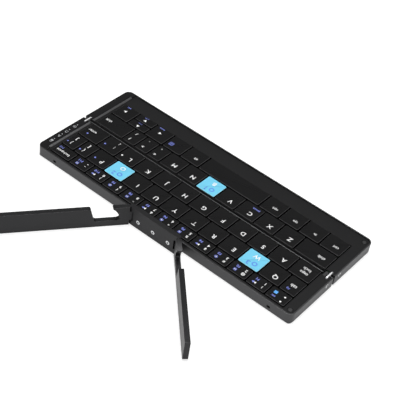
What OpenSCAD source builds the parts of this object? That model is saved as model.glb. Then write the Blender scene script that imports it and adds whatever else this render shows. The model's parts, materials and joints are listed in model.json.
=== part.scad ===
// Folding keyboard with a swing-out phone stand: two hinged halves, key tops facing when it is closed.
// Millimetres. +X is the typist's right, +Y points away from the typist, +Z is up.
// The origin is the middle of the rear half's underside. It is drawn open, with its stand arms swung out.

/* [Halves] */
// Width of each half, left to right
panel_w = 244; // [200:1:300]
// Depth of each half, from the fold to its far side
panel_d = 51; // [42:0.5:62]
// Height of each half, with the key tops flush
panel_h = 9.4; // [7.8:0.1:11.4]
// How far the black decks lie below the rims of their shells
deck_drop = 0.8; // [0.5:0.1:0.9]
// Thickness of the aluminium shells' side walls
wall = 1; // [0.8:0.1:1.3]
// Thickness of the aluminium shells' floors
floor_t = 1; // [0.8:0.1:1.2]
// Thickness of the shells' walls along the fold
fold_wall = 0.5; // [0.4:0.05:0.6]
// Radius of the corners away from the fold
corner_r = 4.8; // [2.5:0.1:5.4]
// Polished chamfer round the underside
chamfer = 0.8; // [0.3:0.1:1]

/* [Keys] */
// Plain border at the left of the keys
left_border = 9.8; // [9.5:0.1:14]
// Border at the right of the keys, with the glossy strip
right_border = 11.3; // [11:0.1:16]
// Border behind the number keys
rear_border = 3.75; // [3.5:0.05:6]
// Gap between the outer keys and the deck
well_gap = 0.6; // [0.35:0.05:0.8]
// Gap between neighbouring keys
key_gap = 1.4; // [0.7:0.1:1.6]
// Height of a key cap
key_h = 1.9; // [1.5:0.1:2.2]
// How far a key goes down
key_travel = 1.4; // [1:0.1:1.5]
// Corner radius of a key cap
key_r = 0.9; // [0.5:0.1:1.5]
// Side of the square post under each key cap
post_w = 4.4; // [3:0.1:5]
// Thickness of the plate that guides the posts
plate_t = 0.8; // [0.6:0.1:1]
// Clearance between a key and what is round it
key_clear = 0.3; // [0.25:0.05:0.4]

/* [Hinge] */
// Distance from the fold line to each hinge pin
pin_out = 2.75; // [2.6:0.05:3]
// Depth of the hinge pins below the key tops
pin_drop = 1.9; // [1.7:0.05:2]
// Radius of the hinge pins
pin_r = 0.8; // [0.6:0.05:0.9]
// Thickness of a hinge link
link_t = 1.2; // [1:0.1:1.6]
// Distance from the end of a half to its hinge link
link_inset = 4; // [3.8:0.1:4.4]
// Half of the gap between the two halves
half_gap = 1.05; // [1:0.05:1.2]
// Width of the printed ribbon that crosses the fold
ribbon_w = 2.4; // [1.5:0.1:2.6]

/* [Stand] */
// Height of the stand block and its arms
stand_h = 17; // [14:0.1:19.7]
// How far the stand's middle lies to the right of the keyboard's middle
stand_x = -1.5; // [-3:0.1:3]
// Thickness of a stand arm
arm_t = 3.9; // [3.4:0.1:5.2]
// Distance from the stand's middle to each arm's pin
arm_pin_x = 21.7; // [20.5:0.1:29]
// Radius of the arm pins
arm_pin_r = 1; // [0.8:0.1:1.2]
// Space between a folded arm and the rear half
arm_gap = 1.45; // [0.45:0.05:2]
// Space from a folded arm's tip to the end of the rear half
arm_end_gap = 1.8; // [0.5:0.1:6]
// Thickness of the block's ears above and below each arm's tongue
ear_t = 4.2; // [3:0.1:5]
// How far the right arm is swung out, from folded
right_arm_open = 52.5; // [0:0.5:90]
// How far the left arm is swung out, from folded
left_arm_open = 46; // [0:0.5:90]
// Height of the phone slot's floor above the desk
slot_floor = 5.2; // [4:0.1:7]
// Where the phone slot's hook ends, from the arm's pin
slot_near = 14.6; // [12:0.1:18]
// Length of the phone slot's flat floor
slot_len = 14.4; // [9:0.1:20]

/* [Hidden] */
$fn = 48;

// The three kinds of node
FRAME_NODES = [
    "rear_shell", "rear_deck", "rear_end_strip", "light_pipes", "rear_key_board", "rear_hinge_pins",
    "rear_end_screws", "stand_block", "block_screws", "arm_pins", "arm_magnets", "left_arm", "right_arm",
    "hinge_links", "hinge_ribbon", "front_shell", "front_deck", "front_end_strip", "front_key_board",
    "main_board", "battery", "charge_port", "front_hinge_pins", "front_end_screws",
];
SINGLE_KEYS = [
    "escape", "backspace", "tab", "caps_lock", "enter", "left_shift", "right_shift", "space",
    "a", "b", "c", "d", "e", "f", "g", "h", "i", "j", "k", "l", "m",
    "n", "o", "p", "q", "r", "s", "t", "u", "v", "w", "x", "y", "z",
];

// Places along Y. In a half, v is the distance from the fold line
y_fold = -panel_d / 2 - half_gap;
v_near = half_gap;
v_far = half_gap + panel_d;
x_end = panel_w / 2;

// Levels above the desk. A cut runs on past the face it opens, to open_z above the rims
cap_z = panel_h - key_h;
deck_top = panel_h - deck_drop;
open_z = panel_h + 1;
plate_top = cap_z - key_travel - key_clear / 2;
plate_z = plate_top - plate_t;
board_t = 0.6;
post_stop = 0.25;
board_top = plate_z - key_travel - post_stop;
board_z = board_top - board_t;
skin_t = 1.4;
strip_t = 1;
strip_z = panel_h - strip_t;

// The deck's fit in its shell, its skirt, the cavity under it and the pockets at its ends
deck_fit = 0.1;
skirt_t = 1.5;
end_block = 10.5;
end_skirt_t = 1;
pocket_lap = 1;
cavity_x = x_end - end_block;
cavity_v = v_far - wall - deck_fit - skirt_t;
end_pocket_x = x_end - wall - deck_fit - end_skirt_t;
end_pocket_v = 11;
end_pocket_z = strip_z - skin_t;

// Key field: pitches follow from the size of the halves
field_x0 = -x_end + left_border;
field_x1 = x_end - right_border;
pitches_across = 12.05;
pitch_x = (field_x1 - field_x0) / pitches_across;
first_row_v = 2.1;
number_share = 0.69;
pitch_y = (v_far - rear_border - first_row_v + key_gap) / (2 + number_share);
letter_d = pitch_y - key_gap;
number_d = pitch_y * number_share - key_gap;
row2_v = first_row_v + pitch_y;
row3_v = row2_v + pitch_y;
rear_well_v = row3_v + number_d + well_gap;
front_well_v = row2_v + letter_d + well_gap;

// Hinge
pin_z = panel_h - pin_drop;
link_sunk = 0.05;
link_r = pin_drop - link_sunk;
link_x = x_end - link_inset;
slot_clear = 0.3;
slot_w = link_t + 2 * slot_clear;
slot_v = pin_out + link_r + slot_clear;
cheek_t = 0.6;
ribbon_wall = 0.2;
pin_x0 = link_x - slot_w / 2 - cheek_t;
pin_x1 = x_end - wall - cheek_t;
ribbon_x = -pin_x0 + ribbon_wall + slot_clear + ribbon_w / 2;
ribbon_t = 0.25;
ribbon_slot_w = ribbon_w + 2 * slot_clear;
ribbon_turn_v = 6.3;
ribbon_tail_d = 1.2;
ribbon_headroom = 0.7;
ribbon_back_room = 0.5;
bend_room = 0.15;

// End screws and block screws
screw_r = 0.8;
end_screw_v = 8;
end_screw_z = 6.2;
end_screw_l = 6;
block_screw_z = 6.2;
block_screw_pitch = 14.2;
block_screw_bite = 1.9;
head_r = 1.65;
head_t = 0.9;
head_sunk = 0.1;

// Stand
pivot_y = panel_d / 2 + arm_gap + arm_t / 2;
knuckle_r = arm_t / 2;
knuckle_clear = 0.35;
ear_clear = 0.2;
arm_pin_fit = 0.06;
arm_len = x_end - abs(stand_x) - arm_pin_x - arm_end_gap;
block_face_y = pivot_y + arm_t / 2;
block_x = arm_pin_x - knuckle_r - knuckle_clear;

// Charge port
port_w = 9;
port_h = 3.2;
port_l = 8;
port_clear = 0.2;
port_wall = 0.35;
port_back = 1.2;
port_inset = 8.5;
port_v = v_far - port_inset;
main_board_z = floor_t + 1;
main_board_t = 1;
port_z = main_board_z + main_board_t;
bay_wall = 1.2;
bay_v = front_well_v + bay_wall;

// Frames of the two halves: v runs away from the fold in both
module rear_half() translate([0, y_fold, 0]) children();
module front_half() translate([0, y_fold, 0]) mirror([0, 1, 0]) children();

// Frame of the stand, off the keyboard's middle
module stand() translate([stand_x, 0, 0]) children();

// A box from one corner to the other
module box(low, high) translate(low) cube(high - low);

// A bar with square ends and rounded corners, drawn flat
module rounded(x0, y0, x1, y1, r) {
    translate([x0 + r, y0]) square([x1 - x0 - 2 * r, y1 - y0]);
    translate([x0, y0 + r]) square([x1 - x0, y1 - y0 - 2 * r]);
    for (x = [x0 + r, x1 - r], y = [y0 + r, y1 - r]) translate([x, y]) circle(r, $fn = 24);
}

// Plan of a half, drawn in by one distance at the fold and another on its three other sides
module plan(fold_in, side_in) {
    x = x_end - side_in;
    v = v_far - side_in;
    r = corner_r - side_in;
    translate([-x, v_near + fold_in]) square([2 * x, v - r - v_near - fold_in]);
    translate([-x + r, v_near + fold_in]) square([2 * (x - r), v - v_near - fold_in]);
    for (s = [-1, 1]) translate([s * (x - r), v - r]) circle(r);
}

// Outer form of a half, with the chamfer round its underside
module half_form() intersection() {
    linear_extrude(panel_h) plan(0, 0);
    rotate([90, 0, 90]) linear_extrude(panel_w, center = true)
        polygon([[v_near + chamfer, 0], [v_far - chamfer, 0], [v_far, chamfer], [v_far, panel_h],
            [v_near, panel_h], [v_near, chamfer]]);
    translate([0, v_far, 0]) rotate([90, 0, 0]) linear_extrude(panel_d)
        polygon([[chamfer - x_end, 0], [x_end - chamfer, 0], [x_end, chamfer], [x_end, panel_h],
            [-x_end, panel_h], [-x_end, chamfer]]);
}

// The slots that the hinge links turn in, open to the fold and to the top
module hinge_slots() {
    for (s = [-1, 1])
        box([s * link_x - slot_w / 2, 0, pin_z - link_r - slot_clear],
            [s * link_x + slot_w / 2, slot_v, open_z]);
    box([ribbon_x - ribbon_slot_w / 2, 0, pin_z - ribbon_headroom],
        [ribbon_x + ribbon_slot_w / 2, pin_out + ribbon_t / 2 + slot_clear, open_z]);
}

// A round bar along X
module bar_x(x0, x1, v, z, r) translate([x0, v, z]) rotate([0, 90, 0]) cylinder(h = x1 - x0, r = r);

// Holes for the screws in the ends of a half, with their sunk heads
module end_screw_holes() for (s = [-1, 1]) mirror([s < 0 ? 1 : 0, 0, 0]) {
    bar_x(x_end - end_screw_l, x_end + 1, end_screw_v, end_screw_z, screw_r);
    bar_x(x_end - wall / 2, x_end + 1, end_screw_v, end_screw_z, head_r);
}

// A key's own place in the table: name, left, right, near and far edge in its half
function sum_to(list, n) = n <= 0 ? 0 : list[n - 1] + sum_to(list, n - 1);
function row_keys(names, widths, v, d) = [
    for (i = [0:len(names) - 1]) [
        names[i],
        field_x0 + pitch_x * sum_to(widths, i),
        i == len(names) - 1 ? field_x1 : field_x0 + pitch_x * sum_to(widths, i + 1) - key_gap,
        v,
        v + d,
    ],
];

// Key widths in letter pitches, row by row; the last key of a row takes what is left
number_w = 0.923;
tab_w = 0.746;
bracket_w = 0.69;
caps_w = 1.04;
left_shift_w = 1.55;
space_w = 3.2;
split_d = (letter_d - key_gap) / 2;
number_row = row_keys(
    ["escape", "1", "2", "3", "4", "5", "6", "7", "8", "9", "0", "minus", "backspace"],
    [for (i = [0:11]) number_w], row3_v, number_d);
tab_row = row_keys(
    ["tab", "q", "w", "e", "r", "t", "y", "u", "i", "o", "p", "left_bracket", "right_bracket"],
    concat([tab_w], [for (i = [0:9]) 1], [bracket_w]), row2_v, letter_d);
caps_row = row_keys(
    ["caps_lock", "a", "s", "d", "f", "g", "h", "j", "k", "l", "semicolon", "enter"],
    concat([caps_w], [for (i = [0:9]) 1]), first_row_v, letter_d);
shift_row = row_keys(
    ["left_shift", "z", "x", "c", "v", "b", "n", "m", "comma", "full_stop", "slash", "right_shift"],
    concat([left_shift_w], [for (i = [0:6]) 1], [bracket_w, bracket_w, bracket_w]), first_row_v, letter_d);
space_row_full = row_keys(
    ["control", "function", "system", "option", "space", "alternate", "language", "left", "up", "right"],
    [1, 1, 1, 1, space_w, 1, 1, 1, 1], row2_v, letter_d);
up = space_row_full[8];
space_row = concat(
    [for (k = space_row_full) if (k[0] != "up") k],
    [["up", up[1], up[2], row2_v, row2_v + split_d],
        ["down", up[1], up[2], row2_v + split_d + key_gap, row2_v + letter_d]]);
REAR_KEYS = concat(number_row, tab_row, caps_row);
FRONT_KEYS = concat(shift_row, space_row);
BLUE_KEYS = ["o", "w", "b"];

function is_in(name, list) = len([for (k = list) if (k == name) k]) > 0;

// Where the posts under a key stand: one, or three under a wide key
wide_share = 1.4;
wide_key = wide_share * pitch_x;
post_from_end = 6;
function posts(key) =
    let (w = key[2] - key[1], x = (key[1] + key[2]) / 2)
    w < wide_key ? [x] : [key[1] + post_from_end, x, key[2] - post_from_end];
function post_side(key) = min(post_w, key[4] - key[3] - 2 * key_clear);

// One key: a cap with a stepped top edge, and its posts down into the guide plate
cap_edge = 0.35;
module key(k) color(is_in(k[0], BLUE_KEYS) ? "#6fd3f5" : "#242426") {
    translate([0, 0, cap_z]) linear_extrude(key_h - cap_edge) rounded(k[1], k[3], k[2], k[4], key_r);
    translate([0, 0, panel_h - cap_edge]) linear_extrude(cap_edge)
        rounded(k[1] + cap_edge, k[3] + cap_edge, k[2] - cap_edge, k[4] - cap_edge, key_r - cap_edge);
    side = post_side(k);
    for (x = posts(k))
        translate([x - side / 2, (k[3] + k[4]) / 2 - side / 2, plate_z]) cube([side, side, cap_z - plate_z]);
}

// Holes in a guide plate for the posts of the keys above it
module post_holes(keys) for (k = keys) {
    side = post_side(k) + 2 * key_clear;
    for (x = posts(k))
        translate([x - side / 2, (k[3] + k[4]) / 2 - side / 2, plate_z - 1]) cube([side, side, plate_t + 2]);
}

module single_key(name) {
    rear_half() for (k = REAR_KEYS) if (k[0] == name) key(k);
    front_half() for (k = FRONT_KEYS) if (k[0] == name) key(k);
}

// The number, bracket and other small keys of each half, pressed as one group
module rear_small_keys() rear_half() for (k = REAR_KEYS) if (!is_in(k[0], SINGLE_KEYS)) key(k);
module front_small_keys() front_half() for (k = FRONT_KEYS) if (!is_in(k[0], SINGLE_KEYS)) key(k);

// What both aluminium shells share: a tray with ribs that carry the key board. Its right end is lower,
// because the glossy strip lies over it
rib_t = 1.2;
rib_inset = 4;
module shell_tray(ribs) {
    difference() {
        half_form();
        translate([0, 0, floor_t]) linear_extrude(panel_h) plan(fold_wall, wall);
        box([strip_x0, half_gap + fold_wall, strip_z], [x_end + 1, v_far - wall, open_z]);
        hinge_slots();
        end_screw_holes();
    }
    for (v = ribs) box([-cavity_x + rib_inset, v, floor_t], [cavity_x - rib_inset, v + rib_t, board_z]);
}

row1_rib_v = first_row_v + letter_d / 2 - rib_inset;
row2_rib_v = row2_v + letter_d / 2;
module rear_shell() color("#55565a") rear_half() difference() {
    shell_tray([row1_rib_v, row2_rib_v, row3_v + number_d / 2]);
    stand() for (i = [-1:1]) translate([i * block_screw_pitch, v_far, block_screw_z])
        rotate([90, 0, 0]) cylinder(h = 4 * wall, r = screw_r, center = true);
    for (s = [-1, 1]) arm_catch(s);
}

// The slot in the rear wall where a magnet shows through to hold a folded arm
catch_inset = 19;
catch_z = 4.2;
catch_w = 2.8;
catch_h = 1.9;
module arm_catch(s) translate([s * (x_end - catch_inset), v_far, catch_z])
    cube([catch_w, 4 * wall, catch_h], center = true);

module front_shell() color("#55565a") front_half() difference() {
    shell_tray([row1_rib_v, row2_rib_v]);
    port_form(port_clear, wall);
}

// What both decks share: a moulded frame that hangs the guide plate over the key board
module deck_frame(keys, well_v) difference() {
    translate([0, 0, floor_t]) linear_extrude(deck_top - floor_t)
        plan(fold_wall + deck_fit, wall + deck_fit);
    box([-cavity_x, 0, 0], [cavity_x, cavity_v, plate_z]);
    box([field_x0 - well_gap, 0, plate_top], [field_x1 + well_gap, well_v, open_z]);
    for (s = [-1, 1])
        box([s < 0 ? -end_pocket_x : cavity_x - pocket_lap, end_pocket_v, 0],
            [s < 0 ? pocket_lap - cavity_x : end_pocket_x, well_v, end_pocket_z]);
    strip_bed();
    corner_ring();
    post_holes(keys);
    hinge_slots();
    for (s = [-1, 1]) mirror([s < 0 ? 1 : 0, 0, 0])
        bar_x(pin_x0, pin_x1, pin_out, pin_z, pin_r);
    end_screw_holes();
    ribbon_channel();
}

// The channel that takes the ribbon's tail from the fold down to the key board
module ribbon_channel() {
    x0 = ribbon_x - ribbon_slot_w / 2;
    x1 = ribbon_x + ribbon_slot_w / 2;
    low = board_z - slot_clear;
    back = ribbon_turn_v + ribbon_back_room;
    box([x0, 0, low], [x1, back, pin_z + ribbon_headroom]);
    box([x0, ribbon_turn_v - ribbon_tail_d - slot_clear, low],
        [pocket_lap - cavity_x, back, board_top + slot_clear]);
}

// The shallow ring moulded in the left far corner of a deck
ring_end_inset = 4.7;
ring_far_inset = 5.2;
ring_r = 2;
ring_w = 0.35;
ring_deep = 0.25;
module corner_ring() translate([ring_end_inset - x_end, v_far - ring_far_inset, deck_top - ring_deep])
    difference() {
        cylinder(h = 1, r = ring_r);
        cylinder(h = 3, r = ring_r - ring_w, center = true);
    }

// Ribs under a guide plate, between the rows, that press the key board down
plate_rib_t = 0.8;
module plate_ribs(vs) for (v = vs)
    box([-cavity_x + rib_inset, v - plate_rib_t / 2, board_top],
        [cavity_x - rib_inset, v + plate_rib_t / 2, plate_z]);

module rear_deck() color("#1d1d1f") rear_half() {
    difference() {
        deck_frame(REAR_KEYS, rear_well_v);
        for (v = pipe_places) translate([pipe_x, v, end_pocket_z - 1])
            cylinder(h = 3, r = pipe_r + pipe_fit);
        stand() for (i = [-1:1]) translate([i * block_screw_pitch, v_far, block_screw_z])
            rotate([90, 0, 0]) cylinder(h = 2 * (wall + block_screw_bite), r = screw_r, center = true);
        for (s = [-1, 1]) magnet(s);
    }
    plate_ribs([row2_v - key_gap / 2, row3_v - key_gap / 2]);
}

module front_deck() color("#1d1d1f") front_half() {
    difference() {
        deck_frame(FRONT_KEYS, front_well_v);
        intersection() {
            box([-cavity_x, bay_v, 0], [end_pocket_x, cavity_v, deck_top - skin_t]);
            linear_extrude(deck_top) plan(fold_wall, wall + deck_fit + end_skirt_t);
        }
        port_form(port_clear, wall);
    }
    plate_ribs([row2_v - key_gap / 2]);
}

// Glossy strips over the right ends, flush with the rims, with a bevel down to the decks
strip_from_keys = 2.6;
strip_x0 = field_x1 + strip_from_keys;
strip_v = v_far - wall - deck_fit;
bevel_stop = 4.2;
bevel_run = 1.5;
bevel_v = strip_v - bevel_stop;
module strip_bed() box([strip_x0, 0, strip_z], [x_end, v_far, open_z]);
module end_strip() difference() {
    translate([0, 0, strip_z]) linear_extrude(strip_t) intersection() {
        plan(fold_wall + deck_fit, 0);
        translate([strip_x0, 0]) square([x_end, strip_v]);
    }
    translate([strip_x0, bevel_v, 0]) rotate([90, 0, 0]) linear_extrude(bevel_v)
        polygon([[-1, deck_top], [0, deck_top], [bevel_run, panel_h], [bevel_run, open_z], [-1, open_z]]);
    hinge_slots();
}
module rear_end_strip() color("#0c0c0e") rear_half() end_strip();
module front_end_strip() color("#0c0c0e") front_half() end_strip();

// Clear pipes that carry the four indicator lamps' light up to the strip, spread along the end pocket
pipe_r = 1;
pipe_fit = 0.02;
pipe_from_edge = 4.2;
pipe_x = strip_x0 + pipe_from_edge;
pipe_foot = 0.6;
pipe_far_inset = 8.2;
pipe_near_inset = 4.2;
pipe_first_v = rear_well_v - pipe_far_inset;
pipe_last_v = end_pocket_v + pipe_near_inset;
pipe_places = [for (i = [0:3]) pipe_first_v + i * (pipe_last_v - pipe_first_v) / 3];
module light_pipes() color("#e8f0f4") rear_half()
    for (v = pipe_places) translate([pipe_x, v, board_top + pipe_foot])
        cylinder(h = strip_z - board_top - pipe_foot, r = pipe_r);

// A key board: one printed sheet under all the keys of its half, with the ribbon's tail
board_side = 1;
board_from_fold = 0.4;
ribbon_lap = 0.5;
rear_board_gap = 2.75;
front_board_gap = 0.75;
module key_board(v_end) {
    board_x = cavity_x - board_side;
    box([-board_x, half_gap + fold_wall + board_from_fold, board_z], [board_x, v_end, board_top]);
    x0 = ribbon_x - ribbon_w / 2;
    x1 = ribbon_x + ribbon_w / 2;
    box([x0, ribbon_turn_v - ribbon_tail_d, board_z], [ribbon_lap - board_x, ribbon_turn_v, board_top]);
    box([x0, ribbon_turn_v - ribbon_t, board_z], [x1, ribbon_turn_v, pin_z + ribbon_t / 2]);
    box([x0, pin_out + bend_room, pin_z - ribbon_t / 2], [x1, ribbon_turn_v, pin_z + ribbon_t / 2]);
}
lamp_w = 1.6;
lamp_d = 1;
lamp_board_v = 3;
module rear_key_board() color("#1f5c38") rear_half() {
    key_board(rear_well_v - rear_board_gap);
    box([cavity_x - 2 * board_side, pipe_last_v - lamp_board_v, board_z],
        [end_pocket_x - board_from_fold, pipe_first_v + lamp_board_v, board_top]);
    for (v = pipe_places) translate([pipe_x - lamp_w / 2, v - lamp_d / 2, board_top])
        cube([lamp_w, lamp_d, pipe_foot]);
}
module front_key_board() color("#1f5c38") front_half() key_board(front_well_v - front_board_gap);

// The ribbon's middle stretch, which turns with the hinge links
module hinge_ribbon() color("#5a3a1c") rear_half()
    box([ribbon_x - ribbon_w / 2, bend_room - pin_out, pin_z - ribbon_t / 2],
        [ribbon_x + ribbon_w / 2, pin_out - bend_room, pin_z + ribbon_t / 2]);

// A hinge link: a steel plate with a hole for a pin of each half
pin_fit = 0.06;
module hinge_links() color("silver") rear_half() for (s = [-1, 1])
    translate([s * link_x, 0, pin_z]) rotate([90, 0, 90])
    linear_extrude(link_t, center = true) difference() {
        union() {
            square([2 * pin_out, 2 * link_r], center = true);
            for (t = [-1, 1]) translate([t * pin_out, 0]) circle(link_r);
        }
        for (t = [-1, 1]) translate([t * pin_out, 0]) circle(pin_r + pin_fit);
    }

module hinge_pins() color("silver") for (s = [-1, 1]) mirror([s < 0 ? 1 : 0, 0, 0])
    bar_x(pin_x0, pin_x1, pin_out, pin_z, pin_r);
module rear_hinge_pins() rear_half() hinge_pins();
module front_hinge_pins() front_half() hinge_pins();

// Small screws through the ends of the shells into the decks
module end_screws() color("silver") for (s = [-1, 1]) mirror([s < 0 ? 1 : 0, 0, 0]) {
    bar_x(x_end - end_screw_l, x_end - wall / 2, end_screw_v, end_screw_z, screw_r);
    bar_x(x_end - wall / 2, x_end - head_sunk, end_screw_v, end_screw_z, head_r);
}
module rear_end_screws() rear_half() end_screws();
module front_end_screws() front_half() end_screws();

// The block that carries the two stand arms: a bar with a fork at each end
pad_inset = 1;
pad_z = 8.6;
pad_lift = 1.2;
module stand_block() color("#3b3c3f") stand() difference() {
    union() {
        pad_x = block_x - pad_inset;
        box([-block_x, pivot_y - knuckle_r, 0], [block_x, block_face_y, stand_h]);
        box([-pad_x, panel_d / 2, pad_lift], [pad_x, pivot_y, pad_z]);
        for (s = [-1, 1], z = [0, stand_h - ear_t]) translate([s * arm_pin_x, pivot_y, z]) {
            cylinder(h = ear_t, r = knuckle_r);
            translate([s > 0 ? block_x - arm_pin_x : 0, -knuckle_r, 0])
                cube([arm_pin_x - block_x, 2 * knuckle_r, ear_t]);
        }
    }
    for (s = [-1, 1]) translate([s * arm_pin_x, pivot_y, arm_pin_inset])
        cylinder(h = stand_h - 2 * arm_pin_inset, r = arm_pin_r);
    for (i = [-1:1]) translate([i * block_screw_pitch, block_face_y, block_screw_z]) rotate([90, 0, 0]) {
        cylinder(h = 4 * arm_t, r = screw_r, center = true);
        cylinder(h = 2 * head_t, r = head_r, center = true);
    }
}

// Screws that hold the block to the rear half
module block_screws() color("silver") stand() for (i = [-1:1])
    translate([i * block_screw_pitch, block_face_y - head_t, block_screw_z]) {
        rotate([-90, 0, 0]) cylinder(h = head_t - head_sunk, r = head_r);
        reach = block_face_y - head_t - panel_d / 2 + wall + block_screw_bite;
        rotate([90, 0, 0]) cylinder(h = reach, r = screw_r);
    }

arm_pin_inset = 0.6;
module arm_pins() color("silver") stand() for (s = [-1, 1])
    translate([s * arm_pin_x, pivot_y, arm_pin_inset])
        cylinder(h = stand_h - 2 * arm_pin_inset, r = arm_pin_r);

// Magnets behind the rear wall that hold the folded arms
magnet_w = 7;
magnet_h = 2.6;
magnet_t = 1.2;
module magnet(s) translate([s * (x_end - catch_inset), v_far - wall - deck_fit - magnet_t / 2, catch_z])
    cube([magnet_w, magnet_t, magnet_h], center = true);
module arm_magnets() color("#8f9296") rear_half() for (s = [-1, 1]) magnet(s);

// Side view of a stand arm: s is the distance from its pin. The slot takes a phone's lower edge between
// a hook near the pin and a ramp
tip_r = 1.6;
tip_edge = 0.4;
ramp_lean = 14;
ramp_foot_r = 2.4;
ramp_head_r = 1.6;
// Points of the hook from its end: the first four up from the slot's floor, the others down from the top
hook_low = [[-3, 0], [-4.3, 0.5], [-5.3, 1.4], [-5.3, 2.8]];
hook_high = [[-4.1, 6.3], [-2.9, 4], [-1.55, 2.3], [-0.2, 1.3], [0, 0.8], [-0.1, 0.3], [-0.6, 0]];
function arc(s, z, r, from, to) =
    [for (i = [0:6]) let (a = from + (to - from) * i / 6) [s + r * cos(a), z + r * sin(a)]];
module arm_side() {
    s0 = knuckle_r + knuckle_clear;
    foot_s = slot_near + hook_low[0][0] + slot_len;
    foot_z = slot_floor + ramp_foot_r;
    head_z = stand_h - ramp_head_r;
    radii = ramp_foot_r + ramp_head_r;
    head_s = foot_s + radii * cos(ramp_lean) + (head_z - foot_z + radii * sin(ramp_lean)) * tan(ramp_lean);
    polygon(concat(
        [[s0, 0]],
        arc(arm_len - tip_r, tip_r, tip_r, -90, 0),
        [[arm_len, stand_h - tip_edge], [arm_len - tip_edge, stand_h]],
        arc(head_s, head_z, ramp_head_r, 90, 180 - ramp_lean),
        arc(foot_s, foot_z, ramp_foot_r, -ramp_lean, -90),
        [for (p = hook_low) [slot_near + p[0], slot_floor + p[1]]],
        [for (p = hook_high) [slot_near + p[0], stand_h - p[1]]],
        [[s0, stand_h]]
    ));
}

// A stand arm along +X from its pin
tongue_lap = 0.5;
module arm() difference() {
    union() {
        rotate([90, 0, 0]) linear_extrude(arm_t, center = true) arm_side();
        translate([0, 0, ear_t + ear_clear]) {
            tongue_h = stand_h - 2 * (ear_t + ear_clear);
            cylinder(h = tongue_h, r = knuckle_r);
            translate([0, -knuckle_r, 0]) cube([knuckle_r + knuckle_clear + tongue_lap, arm_t, tongue_h]);
        }
    }
    cylinder(h = 3 * stand_h, r = arm_pin_r + arm_pin_fit, center = true);
}
module right_arm() color("#3b3c3f") stand()
    translate([arm_pin_x, pivot_y, 0]) rotate(right_arm_open) arm();
module left_arm() color("#3b3c3f") stand()
    translate([-arm_pin_x, pivot_y, 0]) rotate(180 - left_arm_open) mirror([0, 1, 0]) arm();

// Battery, controller board and charge port in the front half's plain border
battery_w = 100;
battery_t = 5;
battery_x = -20;
bay_side = 0.6;
board_end_gap = 1.2;
module battery() color("#9aa0a6") front_half()
    box([battery_x - battery_w / 2, bay_v + bay_side, floor_t],
        [battery_x + battery_w / 2, cavity_v - bay_side, floor_t + battery_t]);

// The controller board on two feet, with two chips: each chip's place along X and side
main_board_x0 = 48;
board_feet = [54, 82];
board_foot_w = 2;
chips = [[63.5, 6], [76, 4]];
chip_t = 1;
module main_board() color("#1f5c38") front_half() {
    v0 = bay_v + bay_side;
    v1 = cavity_v - bay_side;
    box([main_board_x0, v0, main_board_z], [end_pocket_x - board_end_gap, v1, main_board_z + main_board_t]);
    for (x = board_feet) box([x, v0, floor_t], [x + board_foot_w, v1, main_board_z]);
    for (c = chips) translate([c[0] - c[1] / 2, (v0 + v1 - c[1]) / 2, port_z]) cube([c[1], c[1], chip_t]);
}

// The charge port's outline, grown by a clearance, and its socket
module port_form(grow, past) translate([x_end + past, port_v, port_z + port_h / 2]) rotate([0, -90, 0])
    linear_extrude(port_l + past + grow) port_outline(grow);
module port_outline(grow) {
    h = port_h / 2 + grow;
    w = port_w / 2 + grow;
    rounded(-h, -w, h, w, h - 0.01);
}
module charge_port() color("#c8cbd0") front_half() difference() {
    port_form(0, -port_clear);
    translate([x_end, port_v, port_z + port_h / 2]) rotate([0, -90, 0])
        linear_extrude(port_l - port_back) port_outline(-port_wall);
}

rear_shell();
rear_deck();
rear_end_strip();
light_pipes();
rear_key_board();
rear_hinge_pins();
rear_end_screws();
stand_block();
block_screws();
arm_pins();
arm_magnets();
left_arm();
right_arm();
hinge_links();
hinge_ribbon();
front_shell();
front_deck();
front_end_strip();
front_key_board();
main_board();
battery();
charge_port();
front_hinge_pins();
front_end_screws();
rear_small_keys();
front_small_keys();
for (name = SINGLE_KEYS) single_key(name);
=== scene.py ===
import json
import math

import bmesh
import bpy
from mathutils import Matrix, Vector


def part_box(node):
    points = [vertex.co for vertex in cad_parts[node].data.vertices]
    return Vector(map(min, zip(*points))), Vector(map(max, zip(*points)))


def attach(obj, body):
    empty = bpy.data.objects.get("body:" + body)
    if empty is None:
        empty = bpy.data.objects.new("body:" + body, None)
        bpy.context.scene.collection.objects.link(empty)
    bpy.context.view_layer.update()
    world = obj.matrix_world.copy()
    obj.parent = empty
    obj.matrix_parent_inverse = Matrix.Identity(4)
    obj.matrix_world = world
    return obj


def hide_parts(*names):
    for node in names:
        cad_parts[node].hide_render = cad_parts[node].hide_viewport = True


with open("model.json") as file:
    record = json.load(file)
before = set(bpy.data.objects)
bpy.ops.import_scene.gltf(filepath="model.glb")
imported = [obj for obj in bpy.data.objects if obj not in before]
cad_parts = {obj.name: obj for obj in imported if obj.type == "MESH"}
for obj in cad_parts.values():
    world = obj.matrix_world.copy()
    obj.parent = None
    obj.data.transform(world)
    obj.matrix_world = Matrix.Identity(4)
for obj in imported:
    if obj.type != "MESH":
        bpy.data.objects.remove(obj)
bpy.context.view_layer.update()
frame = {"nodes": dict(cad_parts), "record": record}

MM = 0.001

# The camera stands behind the keyboard's far left corner and looks down at it, so its legends read upside
# down. It has a long lens and is rolled a little.
camera_place = Vector((-325.6, 465.8, 532.5)) * MM
camera_target = Vector((-9.8, -23.4, 1.5)) * MM
camera_roll = math.radians(9.57)
camera_lens = 90.9
film_width = 36
bpy.ops.object.camera_add(location=camera_place)
camera = bpy.context.object
look = (camera_place - camera_target).to_track_quat("Z", "Y")
camera.rotation_euler = (look @ Matrix.Rotation(camera_roll, 3, "Z").to_quaternion()).to_euler()
camera.data.sensor_width = film_width
camera.data.lens = camera_lens
bpy.context.scene.camera = camera


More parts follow.
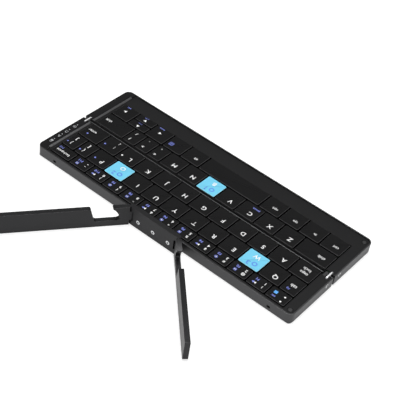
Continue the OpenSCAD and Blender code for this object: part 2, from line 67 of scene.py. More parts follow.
# The two shells are shallow trays of aluminium, milled, bead-blasted and anodised dark grey. The chamfer
# round their undersides is cut afterwards, so bare metal shows there as a thin bright line. Along the fold
# the rear shell's thin rim top is painted pale as a painted highlight, and the front shell's rim is painted
# near black as painted shade.
def colour(code):
    """The linear colour of an sRGB hex code."""
    parts = [int(code[i:i + 2], 16) / 255 for i in (1, 3, 5)]
    return [p / 12.92 if p <= 0.04045 else ((p + 0.055) / 1.055) ** 2.4 for p in parts] + [1]


def add(tree, kind, inputs=(), **settings):
    """Adds a node with its settings. An input is either a value or another node's output."""
    node = tree.nodes.new(kind)
    for name, value in settings.items():
        setattr(node, name, value)
    for name, value in dict(inputs).items():
        if isinstance(value, bpy.types.NodeSocket):
            tree.links.new(value, node.inputs[name])
        else:
            node.inputs[name].default_value = value
    return node


smear = 35


def grained(name, dark, light, grain, rough, deep, **sockets):
    """A material whose grain varies its colour, its roughness and its height, while handling has left
    broader patches that are a little glossier. grain and deep are in mm. Most real grains are finer than
    the render can show, so each is drawn as coarse as it needs to be seen."""
    material = bpy.data.materials.new(name)
    material.use_nodes = True
    tree = material.node_tree
    tree.nodes.clear()
    place = add(tree, "ShaderNodeTexCoord").outputs["Object"]
    grit = add(tree, "ShaderNodeTexNoise", {"Vector": place, "Scale": 1 / (grain * MM), "Detail": 3.0})
    patch = add(tree, "ShaderNodeTexNoise", {"Vector": place, "Scale": 1 / (smear * MM), "Detail": 2.0})
    tone = add(tree, "ShaderNodeMixRGB", {
        "Fac": grit.outputs["Fac"], "Color1": colour(dark), "Color2": colour(light)})
    gloss = add(tree, "ShaderNodeMath", {0: grit.outputs["Fac"], 1: patch.outputs["Fac"]})
    roughness = add(tree, "ShaderNodeMapRange", {
        "Value": gloss.outputs[0], "From Min": 0.5, "From Max": 1.5, "To Min": rough[0], "To Max": rough[1]})
    bump = add(tree, "ShaderNodeBump", {
        "Height": grit.outputs["Fac"], "Distance": deep * MM, "Strength": 1.0})
    shader = add(tree, "ShaderNodeBsdfPrincipled", {
        "Base Color": tone.outputs[0], "Roughness": roughness.outputs[0], "Normal": bump.outputs[0]})
    for socket, value in sockets.items():
        shader.inputs[socket.replace("_", " ")].default_value = value
    add(tree, "ShaderNodeOutputMaterial", {"Surface": shader.outputs[0]})
    return material


def alone(piece):
    """Selects one piece, and makes it the active one."""
    bpy.ops.object.select_all(action="DESELECT")
    piece.select_set(True)
    bpy.context.view_layer.objects.active = piece


def seat(piece, slot, body, *nodes):
    """Mounts a piece on its body and lets it stand for CAD nodes. The slot is not used."""
    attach(piece, body)
    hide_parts(*nodes)


body_of = {node: body for body, nodes in frame["record"]["behaviour"]["bodies"].items() for node in nodes}
weld = 0.001 * MM
flat_angle = math.radians(0.5)
edge_angle = math.radians(32)
round_steps = 2


def finished(node, slot, edge, *materials):
    """A CAD node's copy with its triangles merged and its edges rounded over a width in mm. The edges take
    the second material, if there is one."""
    piece = bpy.data.objects.new("finished_" + node, frame["nodes"][node].data.copy())
    bpy.context.scene.collection.objects.link(piece)
    alone(piece)
    piece.data.materials.clear()
    for material in materials:
        piece.data.materials.append(material)
    bpy.ops.mesh.customdata_custom_splitnormals_clear()
    bpy.ops.object.mode_set(mode="EDIT")
    bpy.ops.mesh.select_all(action="SELECT")
    bpy.ops.mesh.remove_doubles(threshold=weld)
    bpy.ops.mesh.dissolve_limited(angle_limit=flat_angle)
    bpy.ops.object.mode_set(mode="OBJECT")
    bpy.ops.object.shade_smooth_by_angle(angle=edge_angle)
    rounding = piece.modifiers.new("rounded_edges", "BEVEL")
    rounding.width = edge * MM
    rounding.segments = round_steps
    rounding.limit_method = "ANGLE"
    rounding.angle_limit = edge_angle
    rounding.use_clamp_overlap = False
    rounding.harden_normals = True
    rounding.material = len(materials) - 1
    bpy.ops.object.modifier_apply(modifier=rounding.name)
    seat(piece, slot, body_of[node], node)
    return piece


def repaint(piece, material, test):
    """Adds a material to a piece, on the faces whose middle in mm and normal pass a test."""
    piece.data.materials.append(material)
    for face in piece.data.polygons:
        if test(face.center / MM, face.normal):
            face.material_index = len(piece.data.materials) - 1


# The blast leaves an even grain that scatters the light. The rounded edges are painted paler and smoother as
# a painted highlight, and the fresh cut below is bare and nearly bright.
anodised = grained("anodised_aluminium", "#464647", "#505051", 0.7, (0.4, 0.52), 0.004, Metallic=1.0)
cut_edge = grained("cut_bare_aluminium", "#b4b5b6", "#c8c9ca", 0.9, (0.2, 0.3), 0.001, Metallic=1.0)
shell_edge_painted_highlight = grained("anodised_edge_painted_highlight", "#545455", "#606061", 0.9, (0.3, 0.42), 0.002, Metallic=1.0)
rim_painted_highlight = grained("anodised_rim_painted_highlight", "#7b7c7d", "#898a8b", 0.9, (0.35, 0.45), 0.002, Metallic=1.0)
rim_painted_shade = grained("aluminium_rim_painted_shade", "#0b0b0c", "#141415", 0.7, (0.45, 0.58), 0.004,
                     Specular_IOR_Level=0.2)
fold_y = (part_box("rear_shell")[0].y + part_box("front_shell")[1].y) / 2 / MM
fold_reach = 1.7
rim_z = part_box("rear_shell")[1].z / MM
shell_edge = 0.12
chamfer_slopes = (-0.85, -0.6)
# The painted highlight covers only the level top of the rear rim, and the painted shade covers the front
# rim's rounded edges as well
flat_top, rounded_top = 0.9, 0.3
for node, rim, least in (("rear_shell", rim_painted_highlight, flat_top), ("front_shell", rim_painted_shade, rounded_top)):
    # Each shell's rounded edges get the pale painted highlight
    shell = finished(node, "anodised_aluminium", shell_edge, anodised, shell_edge_painted_highlight)
    repaint(shell, rim, lambda middle, normal: (
        abs(middle.y - fold_y) < fold_reach and normal.z > least and middle.z > rim_z / 2))
    repaint(shell, cut_edge, lambda middle, normal: chamfer_slopes[0] < normal.z < chamfer_slopes[1])


# The decks are injection-moulded black ABS frames, set 0.8 mm below the rims, with a fine spark-eroded
# texture that keeps them dull. The wells for the keys are coarser and painted darker, as painted shade down
# between the caps, and the round pad inside the ring in the left far corner is the smooth mark of the
# mould's gate.
black_abs = grained("moulded_black_abs", "#0b0b0c", "#171718", 0.6, (0.46, 0.62), 0.012,
                    Specular_IOR_Level=0.22)
well_painted_shade = grained("coarse_black_abs_painted_shade", "#040404", "#0a0a0a", 0.9, (0.6, 0.75), 0.02, Specular_IOR_Level=0.1)
gate_abs = grained("smooth_black_abs", "#262627", "#2e2e2f", 0.9, (0.4, 0.5), 0.003)
rear_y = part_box("rear_shell")[1].y / MM
front_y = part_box("front_shell")[0].y / MM
end_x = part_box("rear_shell")[1].x / MM
deck_edge = 0.2
well_z = 8
gate_inset = (4.7, 5.2)
gate_r = 1.6
for node, far_y in (("rear_deck", rear_y), ("front_deck", front_y)):
    deck = finished(node, "black_bezel", deck_edge, black_abs)
    gate = Vector((gate_inset[0] - end_x, far_y - math.copysign(gate_inset[1], far_y)))
    # The faces down in the wells get the painted shade
    repaint(deck, well_painted_shade, lambda middle, normal: middle.z < well_z)
    repaint(deck, gate_abs, lambda middle, normal: (middle.xy - gate).length < gate_r and middle.z > well_z)


# The strips over the right ends are polished black acrylic, set flush in the decks, with a bevel towards the
# keys that is painted a lighter satin grey as a painted highlight. The rear strip's four lamp spots and
# their icons are printed in pale grey.
gloss_acrylic = grained("polished_black_acrylic", "#121213", "#171718", 1.2, (0.06, 0.14), 0.0005, IOR=1.49)
strip_bevel_painted_highlight = grained("satin_grey_bevel_painted_highlight", "#565657", "#636364", 0.8, (0.3, 0.4), 0.002, Metallic=0.8)
strip_edge = 0.1
bevel_lean = (-0.8, -0.3)
upward = 0.5
strips = {}
# The bevel faces towards the keys get the painted highlight
for node in ("rear_end_strip", "front_end_strip"):
    strips[node] = finished(node, "glossy_strip", strip_edge, gloss_acrylic)
    repaint(strips[node], strip_bevel_painted_highlight, lambda middle, normal: (
        bevel_lean[0] < normal.x < bevel_lean[1] and normal.z > upward))

# Pad-printing ink lies on the surface as a thin skin, smoother than a cap's coat and duller than the strip
ink_t = 0.02
print_sunk = 0.006
font_cap_share = 0.73
stroke_swell, thin_swell, wide_swell = 0.09, 0.04, 0.15
# How many corners each printed shape has. A square turned by 45 degrees lies level.
triangle, square, dot, disc, ring = 3, 4, 12, 16, 20
white_ink = grained("white_pad_printing_ink", "#eeefef", "#fafafa", 0.5, (0.4, 0.5), 0.001)
grey_ink = grained("grey_pad_printing_ink", "#a4a5a7", "#b2b3b5", 0.5, (0.4, 0.5), 0.001)
violet_ink = grained("violet_pad_printing_ink", "#727fda", "#8793e8", 0.5, (0.4, 0.5), 0.001)
deep_ink = grained("mid_blue_pad_printing_ink", "#4f83d8", "#6092e2", 0.5, (0.4, 0.5), 0.001)
sky_ink = grained("sky_blue_pad_printing_ink", "#4a9be6", "#62b0f2", 0.5, (0.4, 0.5), 0.001)


def inked(x, y, z, ink):
    """Gives the flat shape just added its ink and its thickness, at a place in mm."""
    shape = bpy.context.object
    shape.location = Vector((x, y, z - print_sunk)) * MM
    shape.data.materials.clear()
    shape.data.materials.append(ink)
    layer = shape.modifiers.new("ink", "SOLIDIFY")
    layer.thickness = ink_t * MM
    layer.offset = 1
    bpy.ops.object.modifier_apply(modifier=layer.name)
    return shape


def words(text, x, y, z, height, ink, swell=stroke_swell):
    """Printed lettering whose capitals are that high, centred at a place. swell thickens its strokes."""
    bpy.ops.object.text_add()
    data = bpy.context.object.data
    data.body = text
    data.size = height / font_cap_share * MM
    data.offset = swell * MM
    data.resolution_u = 3
    data.align_x = "CENTER"
    data.align_y = "CENTER"
    bpy.ops.object.convert(target="MESH")
    return inked(x, y, z, ink)


def blot(corners, x, y, z, size, ink, turn=0.0, hollow=0.0):
    """A printed regular polygon of that radius, round where it has many corners. hollow is the width of
    its line, where it is an outline."""
    bpy.ops.mesh.primitive_circle_add(
        vertices=corners, radius=size * MM, fill_type="NGON", rotation=(0, 0, math.radians(turn)))
    bpy.ops.object.transform_apply(location=False, rotation=True, scale=False)
    if hollow:
        bpy.ops.object.mode_set(mode="EDIT")
        bpy.ops.mesh.select_all(action="SELECT")
        bpy.ops.mesh.inset(thickness=hollow * MM)
        bpy.ops.mesh.delete(type="FACE")
        bpy.ops.object.mode_set(mode="OBJECT")
    return inked(x, y, z, ink)


def bar(x, y, z, wide, deep, ink):
    """A printed oblong, wide along X and deep along Y."""
    bpy.ops.mesh.primitive_plane_add(size=1)
    bpy.context.object.scale = (wide * MM, deep * MM, 1)
    bpy.ops.object.transform_apply(location=False, rotation=False, scale=True)
    return inked(x, y, z, ink)


def joined(piece, parts):
    """Joins parts into a piece, which keeps its name, body and place."""
    alone(piece)
    for part in parts:
        part.select_set(True)
    bpy.ops.object.join()
    return piece


strip_x = 118.2
icon_rows = [(13.95, "lock"), (5.6, "letter"), (-2.5, "cell"), (-11.4, "waves")]
lamp_step, lamp_r = 3.2, 0.45
icon_line = 0.25
lock_r, lock_drop = 1.4, 0.5
hasp_r, hasp_rise = 0.9, 0.9
letter_icon_h = 2.6
cell_r, cell_cap_rise, cell_cap_w, cell_cap_t = 1.5, 1.4, 0.9, 0.5
wave_r = 1.4
icons = []
for y, sign in icon_rows:
    icons.append(blot(dot, strip_x, y - lamp_step, rim_z, lamp_r, grey_ink))
    if sign == "lock":
        icons.append(blot(square, strip_x, y - lock_drop, rim_z, lock_r, grey_ink, turn=45))
        icons.append(blot(disc, strip_x, y + hasp_rise, rim_z, hasp_r, grey_ink, hollow=icon_line))
    if sign == "letter":
        icons.append(words("A", strip_x, y, rim_z, letter_icon_h, grey_ink))
    if sign == "cell":
        icons.append(blot(square, strip_x, y, rim_z, cell_r, grey_ink, turn=45, hollow=icon_line))
        icons.append(bar(strip_x, y + cell_cap_rise, rim_z, cell_cap_w, cell_cap_t, grey_ink))
    if sign == "waves":
        icons.append(blot(ring, strip_x, y, rim_z, wave_r, grey_ink, hollow=icon_line))
        icons.append(blot(dot, strip_x, y, rim_z, lamp_r, grey_ink))
joined(strips["rear_end_strip"], icons)


# Each key cap is moulded in black ABS with a soft-touch coat, and three letters have a sky blue top whose
# sides are painted black as painted shade. Caps have a rounded top edge, painted greyer on the black caps
# and paler on the blue ones as a painted highlight, and a slight hollow for the fingertip. Their legends are
# pad-printed.
soft_black = grained("soft_touch_black_abs", "#080809", "#0f0f10", 0.6, (0.5, 0.64), 0.01,
                     Specular_IOR_Level=0.14)
cap_edge_painted_highlight = grained("soft_touch_edge_painted_highlight", "#444445", "#505051", 0.6, (0.4, 0.55), 0.006)
sky_blue = grained("sky_blue_abs", "#66c2e2", "#76cdea", 0.6, (0.4, 0.5), 0.006, IOR=1.5)
sky_edge_painted_highlight = grained("sky_blue_abs_edge_painted_highlight", "#9fe0f2", "#b2e9f7", 0.6, (0.3, 0.4), 0.004, IOR=1.5)
cap_h = 1.9
cap_side = 10
cap_corner, corner_steps = 0.9, 4
cap_edge, edge_steps = 0.35, 3
shoulder = 0.35
hollow_deep, hollow_steps = 0.04, 2
print_z = rim_z - hollow_deep
level = 0.99


def choose(kind, test):
    """In edit mode, selects the faces or edges that pass a test, and nothing else."""
    bpy.ops.mesh.select_mode(type=kind)
    bpy.ops.mesh.select_all(action="DESELECT")
    shape = bmesh.from_edit_mesh(bpy.context.object.data)
    for part in shape.faces if kind == "FACE" else shape.edges:
        if test(part):
            part.select_set(True)
    bmesh.update_edit_mesh(bpy.context.object.data)


def upright(edge):
    return abs(edge.verts[0].co.z - edge.verts[1].co.z) > cap_h * MM / 2


def facing_up(face):
    return face.normal.z > level


bpy.ops.object.select_all(action="DESELECT")
bpy.ops.mesh.primitive_cube_add(
    size=1, location=(0, 0, -cap_h / 2 * MM), scale=(cap_side * MM, cap_side * MM, cap_h * MM))
model_cap = bpy.context.object
bpy.ops.object.transform_apply(location=True, scale=True)
bpy.ops.object.mode_set(mode="EDIT")
choose("EDGE", upright)
bpy.ops.mesh.bevel(offset=cap_corner * MM, segments=corner_steps, affect="EDGES")
choose("FACE", facing_up)
bpy.ops.mesh.bevel(offset=cap_edge * MM, segments=edge_steps, affect="EDGES")
choose("FACE", facing_up)
for _ in range(hollow_steps):
    bpy.ops.mesh.inset(thickness=shoulder * MM, depth=-hollow_deep / hollow_steps * MM)
bpy.ops.object.mode_set(mode="OBJECT")
bpy.ops.object.shade_smooth_by_angle(angle=edge_angle)
top_slope, edge_slope = 0.95, 0.2
# Slot 1, the rounded top edge, is the painted highlight, and slot 2, the sides, is black, which is painted
# shade on the blue caps
for face in model_cap.data.polygons:
    face.material_index = 0 if face.normal.z > top_slope else 1 if face.normal.z > edge_slope else 2

# A cap stands on a post that is narrower than its well, and the widest caps have one near each end too
post_w = 4.4
post_clear = 0.6
wide_key = 25.9
post_from_end = 6


def cap(name, low, high, material, edge_highlight_paint):
    """A copy of the model cap stretched to a key's corners, with the posts under it. Its materials are
    those of the top and the rounded edge, whose paler tone is painted highlight, and its skirt is always
    black, which is painted shade on the blue caps."""
    piece = bpy.data.objects.new(name, model_cap.data.copy())
    bpy.context.scene.collection.objects.link(piece)
    for part in (material, edge_highlight_paint, soft_black):
        piece.data.materials.append(part)
    middle = (low + high) / 2
    spread = (high - low - Vector((cap_side, cap_side, 0))) / 2
    for point in piece.data.vertices:
        point.co.x += (middle.x + math.copysign(1, point.co.x) * spread.x) * MM
        point.co.y += (middle.y + math.copysign(1, point.co.y) * spread.y) * MM
        point.co.z += high.z * MM
    side = min(post_w, high.y - low.y - post_clear)
    tall = high.z - cap_h - low.z
    places = [middle.x]
    if high.x - low.x > wide_key:
        places += [low.x + post_from_end, high.x - post_from_end]
    feet = []
    for x in places:
        bpy.ops.mesh.primitive_cube_add(
            size=1, location=Vector((x, middle.y, low.z + tall / 2)) * MM,
            scale=Vector((side, side, tall)) * MM)
        bpy.context.object.data.materials.append(soft_black)
        feet.append(bpy.context.object)
    return joined(piece, feet)


keys = {}
blue_letters = ("o", "w", "b")
for node in [name for name in frame["nodes"] if name.startswith("key_")]:
    name = node.removeprefix("key_")
    low, high = (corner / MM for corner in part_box(node))
    blue = name in blue_letters
    piece = cap("cap_" + name, low, high, *((sky_blue, sky_edge_painted_highlight) if blue else (soft_black, cap_edge_painted_highlight)))
    keys[name] = (piece, (low + high) / 2)
    seat(piece, "blue_key" if blue else "black_key", node, node)

# The small keys of each half are one CAD node, whose solids are sorted into rows to tell the keys apart
number_row = ["1", "2", "3", "4", "5", "6", "7", "8", "9", "0", "minus"]
rear_bank = [*number_row, "left_bracket", "right_bracket", "semicolon"]
front_bank = ["comma", "full_stop", "slash", "control", "function", "system", "option", "alternate",
              "language", "left", "up", "down", "right"]
row_step = 17
for node, names in (("rear_small_keys", rear_bank), ("front_small_keys", front_bank)):
    bank = bpy.data.objects.new("bank", frame["nodes"][node].data.copy())
    bpy.context.scene.collection.objects.link(bank)
    alone(bank)
    bpy.ops.object.mode_set(mode="EDIT")
    bpy.ops.mesh.select_all(action="SELECT")
    bpy.ops.mesh.remove_doubles(threshold=weld)
    bpy.ops.mesh.separate(type="LOOSE")
    bpy.ops.object.mode_set(mode="OBJECT")
    corners = []
    for island in list(bpy.context.selected_objects):
        points = [point.co / MM for point in island.data.vertices]
        corners.append([Vector(pick(p[i] for p in points) for i in range(3)) for pick in (min, max)])
        bpy.data.objects.remove(island)
    top_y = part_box(node)[1].y / MM
    corners.sort(key=lambda box: (int((top_y - box[1].y) / row_step), box[0].x, -box[1].y))
    for name, (low, high) in zip(names, corners):
        piece = cap("cap_" + name, low, high, soft_black, cap_edge_painted_highlight)
        keys[name] = (piece, (low + high) / 2)
        seat(piece, "black_key", node, node)
bpy.data.objects.remove(model_cap)

marks = {name: [] for name in keys}


def at(name, dx, dy):
    """A place on a key, as distances from its middle."""
    middle = keys[name][1]
    return middle.x + dx, middle.y + dy, print_z


def put_words(name, text, dx, dy, height, ink, swell=stroke_swell):
    """Prints lettering on a key."""
    marks[name].append(words(text, *at(name, dx, dy), height, ink, swell))


def put_blot(name, corners, dx, dy, size, ink, turn=0.0, hollow=0.0):
    """Prints a polygon on a key."""
    marks[name].append(blot(corners, *at(name, dx, dy), size, ink, turn, hollow))


letter_at, letter_h = (-2.2, 2.4), 4
blue_letter_at, blue_digit_at, blue_digit_h = (-0.2, -3.7), (2, 4.5), 4.1
blue_ring_at, blue_ring_r, blue_ring_w = (-2.7, 3.1), 2.2, 1
for name in "abcdefghijklmnopqrstuvwxyz":
    if name in blue_letters:
        put_words(name, name.upper(), *blue_letter_at, letter_h, white_ink)
        put_blot(name, ring, *blue_ring_at, blue_ring_r, deep_ink, hollow=blue_ring_w)
        digit = {"b": "1", "o": "2", "w": "3"}[name]
        put_words(name, digit, *blue_digit_at, blue_digit_h, deep_ink, wide_swell)
    else:
        put_words(name, name.upper(), *letter_at, letter_h, white_ink)

# A number key has its digit and shifted sign at the left, and a function number under one of three plain
# signs at the right: a ring with a dot, two arrowheads, or a framed bar
digit_h, upper_h, function_h = 2.5, 2.2, 2.2
left_column, right_column = -4.1, 2.9
low_line, high_line = -2.1, 2
ring_r, ring_dot_r, sign_line = 1.3, 0.5, 0.4
arrowhead_r, first_arrow_dx, second_arrow_dx = 1.2, -0.8, 0.9
frame_r, bar_w, bar_t = 1.6, 1.2, 0.5
shifted = {**dict(zip("1234567890", "!@#$%^&*()")), "minus": "_"}
for number, name in enumerate(number_row, 1):
    digit = "-" if name == "minus" else name
    put_words(name, digit, left_column, low_line, digit_h, white_ink)
    put_words(name, shifted[name], left_column, high_line, upper_h, white_ink)
    put_words(name, f"F{number}", right_column, low_line, function_h, violet_ink)
    if number % 3 == 0:
        put_blot(name, disc, right_column, high_line, ring_r, violet_ink, hollow=sign_line)
        put_blot(name, dot, right_column, high_line, ring_dot_r, white_ink)
    elif number % 3 == 1:
        for dx, ink in ((first_arrow_dx, white_ink), (second_arrow_dx, violet_ink)):
            put_blot(name, triangle, right_column + dx, high_line, arrowhead_r, ink, turn=-90)
    else:
        put_blot(name, square, right_column, high_line, frame_r, violet_ink, turn=45, hollow=sign_line)
        marks[name].append(bar(*at(name, right_column, high_line), bar_w, bar_t, white_ink))

# Punctuation keys: the lower and upper signs, their place across the key, and how far up each one stands
pair_h = 3
pairs = [("left_bracket", "[{", 1, 2.8, -3.2), ("right_bracket", "]}", 1.2, 3, -3.2),
         ("semicolon", ";:", -2.6, 1.2, -4.8), ("comma", ",<", 1.5, 3.5, -3.7),
         ("full_stop", ".>", 1.4, 3.4, -3.7), ("slash", "/?", 1.8, 3.9, -4.2)]
for name, (lower, upper), dx, far, near in pairs:
    put_words(name, upper, dx, far, pair_h, white_ink)
    put_words(name, lower, dx, near, pair_h, white_ink)

# Words in small lettering: their key, the text, its place on the key, its height and its ink
labels = [
    ("tab", "tab", -0.3, 0.1, 3, white_ink), ("caps_lock", "caps", -0.6, 2.1, 2.8, white_ink),
    ("caps_lock", "lock", -0.6, -2.4, 2.8, white_ink), ("enter", "enter", 3.6, -1.5, 2.6, white_ink),
    ("left_shift", "shift", -5.6, 0.8, 2.6, white_ink), ("right_shift", "shift", 8.2, -0.6, 2.6, white_ink),
    ("backspace", "backspace", 0.6, 1, 2.3, white_ink), ("backspace", "F12", 5.4, -2.8, 2, violet_ink),
    ("control", "ctrl", -2, 2, 2.5, white_ink), ("function", "fn", -2, 2, 2.5, white_ink),
    ("system", "sys", -2, 2, 2.5, white_ink), ("option", "opt", -2, 2, 2.5, white_ink),
    ("alternate", "alt", -2, 2, 2.5, white_ink), ("escape", "esc", 3, 2.7, 2, violet_ink),
    ("c", "pause", -2.8, -4.4, 2, violet_ink), ("left", "home", 3, -6.4, 1.6, violet_ink),
    ("right", "end", 2.6, -6.6, 1.6, violet_ink), ("up", "pgup", 0.8, -2.7, 1.4, violet_ink),
    ("down", "pgdn", 1.6, -2.7, 1.4, violet_ink), ("tab", "F0", 1.4, 4.3, 1.9, violet_ink),
]
for label in labels:
    put_words(*label, thin_swell)

# The arrow keys point four ways, and a few keys have a dot, a patch or a small grid for their second use
arrow_r, dot_r = 1.6, 0.75
for name, turn, dx, dy in (("left", 90, 0.9, -0.8), ("up", 0, 0.4, 0.9), ("down", 180, 0.6, 0.6),
                           ("right", -90, 1.6, -1.1)):
    put_blot(name, triangle, dx, dy, arrow_r, white_ink, turn=turn)
dots = [("escape", -4.1, -1.8, white_ink), ("escape", -3.9, 3.6, white_ink), ("p", 4.9, 2.3, violet_ink),
        ("l", 5.9, 2.7, white_ink), ("semicolon", 5.8, 2.3, violet_ink), ("enter", 4.4, 3.3, violet_ink),
        ("right_bracket", 4.8, 3.4, violet_ink), ("left_bracket", 4.2, 3.6, violet_ink)]
for name, dx, dy, ink in dots:
    put_blot(name, dot, dx, dy, dot_r, ink)
patch_at, patch_r = (3.4, -1.4), 1.9
put_blot("escape", square, *patch_at, patch_r, sky_ink, turn=45)
grid_at, grid_r, grid_l = (4.5, 2.2), 2.5, 2.4
put_blot("language", square, *grid_at, grid_r, violet_ink, turn=45, hollow=sign_line)
for wide, deep in ((grid_l, sign_line), (sign_line, grid_l)):
    marks["language"].append(bar(*at("language", *grid_at), wide, deep, violet_ink))
for name, (piece, _) in keys.items():
    joined(piece, marks[name])


# Under the deck lie the printed circuit boards, in glossy green solder mask, with a polyimide ribbon across
# the fold whose grey screening layer shows between the halves. Clear acrylic pipes guide the lamps' light.
solder_mask = grained("green_solder_mask", "#08260f", "#0d3317", 1.5, (0.25, 0.35), 0.01)
clear_acrylic = grained("clear_acrylic", "#dfe6e8", "#eef3f4", 1.0, (0.05, 0.1), 0.001,
                        Transmission_Weight=0.9, IOR=1.49)
screened_film = grained("screened_polyimide_film", "#2c2c2d", "#39393a", 0.6, (0.35, 0.5), 0.004)


def dress(material, *nodes):
    """Gives CAD nodes whose shape is right a material."""
    for node in nodes:
        frame["nodes"][node].data.materials.clear()
        frame["nodes"][node].data.materials.append(material)


pipe_edge, ribbon_edge = 0.05, 0.04
dress(solder_mask, "rear_key_board", "front_key_board", "main_board")
finished("light_pipes", "clear_plastic", pipe_edge, clear_acrylic)
finished("hinge_ribbon", "ribbon_film", ribbon_edge, screened_film)


# The lithium pouch cell is foil laminate with a softly rounded edge, taped to the front shell's floor. The
# charge socket is a folded and tin-plated steel shell round a black tongue with gold contacts.
pouch_foil = grained("laminated_pouch_foil", "#8d9196", "#a3a7ac", 1.2, (0.3, 0.45), 0.02, Metallic=0.6)
tinned_steel = grained("tinned_steel", "#b8babd", "#cacccf", 0.6, (0.22, 0.32), 0.003, Metallic=1.0)
gold_contact = grained("gold_plated_contact", "#d8ae58", "#e6c070", 0.5, (0.2, 0.3), 0.001, Metallic=1.0)
pouch_edge, port_edge = 1.2, 0.08
finished("battery", "battery_foil", pouch_edge, pouch_foil)
finished("charge_port", "port_steel", port_edge, tinned_steel)
port_low, port_high = (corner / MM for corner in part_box("charge_port"))
tongue_w, tongue_t, tongue_l, tongue_back = 6.4, 0.7, 5, 1
contact_w, contact_l, contact_proud = 0.3, 4, 0.03
contact_pitch, contact_count, contact_shift = 0.5, 11, 0.2
bpy.ops.object.select_all(action="DESELECT")
middle = (port_low + port_high) / 2
tongue_x = port_low.x + tongue_back + tongue_l / 2
bpy.ops.mesh.primitive_cube_add(
    size=1, location=Vector((tongue_x, middle.y, middle.z)) * MM,
    scale=Vector((tongue_l, tongue_w, tongue_t)) * MM)
tongue = bpy.context.object
tongue.name = "charge_port_tongue"
bpy.ops.object.transform_apply(location=True, scale=True)
tongue.data.materials.append(black_abs)
contacts = []
for i in range(contact_count):
    y = middle.y + (i - (contact_count - 1) / 2) * contact_pitch
    bpy.ops.mesh.primitive_cube_add(
        size=1, location=Vector((tongue_x + contact_shift, y, middle.z)) * MM,
        scale=Vector((contact_l, contact_w, tongue_t + 2 * contact_proud)) * MM)
    bpy.context.object.data.materials.append(gold_contact)
    contacts.append(bpy.context.object)
joined(tongue, contacts)
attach(tongue, "front_half")


# The hinge's links are stamped from stainless sheet and tumbled to a pale satin, and turn on ground steel
# pins. The same steel is used for the arms' pins. The magnets behind the rear wall are painted near black,
# as painted shade in their slots.
bright_steel = grained("bright_stainless_steel", "#c2c3c5", "#d6d7d8", 0.5, (0.18, 0.28), 0.002,
                       Metallic=1.0)
satin_steel = grained("tumbled_stainless_steel", "#dededf", "#e9e9ea", 0.5, (0.52, 0.62), 0.003,
                      Metallic=1.0)
magnet_painted_shade = grained("black_magnet_painted_shade", "#060607", "#0b0b0c", 0.8, (0.3, 0.4), 0.004)
steel_edge, magnet_edge = 0.1, 0.15
finished("hinge_links", "bright_steel", steel_edge, satin_steel)
for node in ("rear_hinge_pins", "front_hinge_pins", "arm_pins"):
    finished(node, "bright_steel", steel_edge, bright_steel)
finished("arm_magnets", "magnet_coating", magnet_edge, magnet_painted_shade)


# Small machine screws hold the decks in the shells and the stand block to the rear half. Their heads are
# turned steel, sunk just below the face, with a hexagon socket whose inside is painted dark as painted
# shade.
socket_painted_shade = grained("socket_steel_painted_shade", "#1c1c1d", "#29292a", 0.5, (0.45, 0.6), 0.004, Metallic=0.5)
head_r, head_edge, shank_r, round_sides = 1.65, 0.12, 0.8, 32
socket_r, socket_deep, socket_sides, skin = 0.85, 0.6, 6, 0.01


def screw(name, head_t, length, head_at, outward, body, node):
    """A screw whose head's middle lies at a place in mm and faces outward, with its shank behind."""
    bpy.ops.object.select_all(action="DESELECT")
    bpy.ops.mesh.primitive_cylinder_add(
        vertices=round_sides, radius=head_r * MM, depth=head_t * MM, location=(0, 0, -head_t / 2 * MM))
    piece = bpy.context.object
    bpy.ops.object.transform_apply(location=True)
    bpy.ops.object.mode_set(mode="EDIT")
    choose("FACE", facing_up)
    bpy.ops.mesh.bevel(offset=head_edge * MM, segments=round_steps, affect="EDGES")
    choose("FACE", lambda face: face.normal.z < -level)
    bpy.ops.mesh.inset(thickness=(head_r - shank_r) * MM)
    bpy.ops.mesh.extrude_region_move(TRANSFORM_OT_translate={"value": (0, 0, (head_t - length) * MM)})
    bpy.ops.object.mode_set(mode="OBJECT")
    bpy.ops.mesh.primitive_cylinder_add(
        vertices=socket_sides, radius=socket_r * MM, depth=2 * socket_deep * MM, location=(0, 0, 0))
    cutter = bpy.context.object
    socket = piece.modifiers.new("socket", "BOOLEAN")
    socket.operation = "DIFFERENCE"
    socket.object = cutter
    alone(piece)
    bpy.ops.object.modifier_apply(modifier=socket.name)
    bpy.data.objects.remove(cutter)
    bpy.ops.object.shade_smooth_by_angle(angle=edge_angle)
    piece.data.materials.append(bright_steel)
    # The socket's inside gets the painted shade
    repaint(piece, socket_painted_shade, lambda middle, normal: (
        middle.xy.length < socket_r and -socket_deep - skin < middle.z < -skin))
    turn = Vector(outward).to_track_quat("Z", "Y").to_matrix().to_4x4()
    piece.data.transform(Matrix.Translation(Vector(head_at) * MM) @ turn)
    piece.name = name
    seat(piece, "bright_steel", body, node)


head_sunk = 0.1
end_screw_z, end_head_t, end_screw_l = 6.2, 0.4, 5.9
for node, body in (("rear_end_screws", "rear_half"), ("front_end_screws", "front_half")):
    low, high = (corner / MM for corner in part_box(node))
    for side, word in ((-1, "left"), (1, "right")):
        place = (side * (end_x - head_sunk), (low.y + high.y) / 2, end_screw_z)
        screw(f"{node[:-1]}_{word}", end_head_t, end_screw_l, place, (side, 0, 0), body, node)
low, high = (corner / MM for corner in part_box("block_screws"))
block_pitch, block_head_t = 14.2, 0.8
for i, word in ((-1, "left"), (0, "middle"), (1, "right")):
    place = ((low.x + high.x) / 2 + i * block_pitch, high.y, end_screw_z)
    screw(f"block_screw_{word}", block_head_t, high.y - low.y, place, (0, 1, 0), "rear_half", "block_screws")


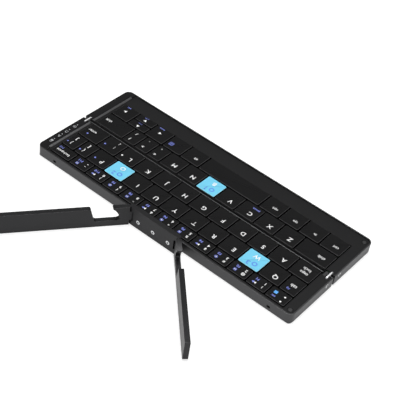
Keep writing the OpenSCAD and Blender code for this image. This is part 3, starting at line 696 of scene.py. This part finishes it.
# The stand block and its two arms are milled from aluminium bar and anodised nearly black, with a satin
# face. The mill breaks every edge with a narrow bevel, which is painted a shade lighter as a painted
# highlight.
satin_black = grained("satin_black_anodised_aluminium", "#303031", "#39393a", 0.7, (0.38, 0.5), 0.004,
                      Metallic=1.0)
stand_edge_painted_highlight = grained("satin_anodised_edge_painted_highlight", "#3a3a3b", "#444445", 0.7, (0.36, 0.48), 0.003, Metallic=1.0)
stand_edge = 0.15
for node in ("stand_block", "left_arm", "right_arm"):
    finished(node, "stand_aluminium", stand_edge, satin_black, stand_edge_painted_highlight)


# The floor is a plain pale sweep. It shows white to the camera and in reflections, and still keeps the
# keyboard's soft shadow.
floor_size, floor_drop, floor_glow = 6, 0.02, 0.6
bpy.ops.mesh.primitive_plane_add(size=floor_size, location=(0, 0, -floor_drop * MM))
floor = bpy.context.object
floor.name = "floor"
floor_card = bpy.data.materials.new("pale_floor_card")
floor_card.use_nodes = True
tree = floor_card.node_tree
tree.nodes.clear()
path = add(tree, "ShaderNodeLightPath")
seen = add(tree, "ShaderNodeMath", {0: path.outputs["Is Camera Ray"], 1: path.outputs["Is Glossy Ray"]},
           use_clamp=True)
shown = add(tree, "ShaderNodeMath", {0: seen.outputs[0], 1: path.outputs["Is Transmission Ray"]},
            use_clamp=True)
lift = add(tree, "ShaderNodeMath", {0: shown.outputs[0], 1: floor_glow}, operation="MULTIPLY")
card = add(tree, "ShaderNodeBsdfDiffuse", {"Color": colour("#c4c4c4")})
glow = add(tree, "ShaderNodeEmission", {"Strength": lift.outputs[0]})
both = add(tree, "ShaderNodeAddShader", {0: card.outputs[0], 1: glow.outputs[0]})
add(tree, "ShaderNodeOutputMaterial", {"Surface": both.outputs[0]})
floor.data.materials.append(floor_card)

# The room is dim above and white round the horizon, like a backdrop that runs all round
upper_light, horizon_light = 0.25, 1.0
backdrop_top, room_top = 0.1, 0.45
world = bpy.data.worlds.new("soft_room")
bpy.context.scene.world = world
world.use_nodes = True
tree = world.node_tree
tree.nodes.clear()
way = add(tree, "ShaderNodeTexCoord").outputs["Generated"]
height = add(tree, "ShaderNodeSeparateXYZ", {"Vector": way}).outputs["Z"]
light = add(tree, "ShaderNodeMapRange", {
    "Value": height, "From Min": backdrop_top, "From Max": room_top, "To Min": horizon_light,
    "To Max": upper_light})
room = add(tree, "ShaderNodeBackground", {"Strength": light.outputs[0]})
add(tree, "ShaderNodeOutputWorld", {"Surface": room.outputs[0]})

# A large softbox hangs over the keyboard, and a weak one fills in from the camera's side
lamps = (("main_softbox", (0.1, -0.1, 1.7), 0.9, 26), ("camera_side_softbox", (-0.9, 0.9, 1.3), 0.7, 5))
for name, place, size, power in lamps:
    bpy.ops.object.light_add(type="AREA", location=place)
    lamp = bpy.context.object
    lamp.name = name
    lamp.data.size = size
    lamp.data.energy = power
    lamp.rotation_euler = Vector(place).to_track_quat("Z", "Y").to_euler()

bpy.context.scene.view_settings.view_transform = "Standard"
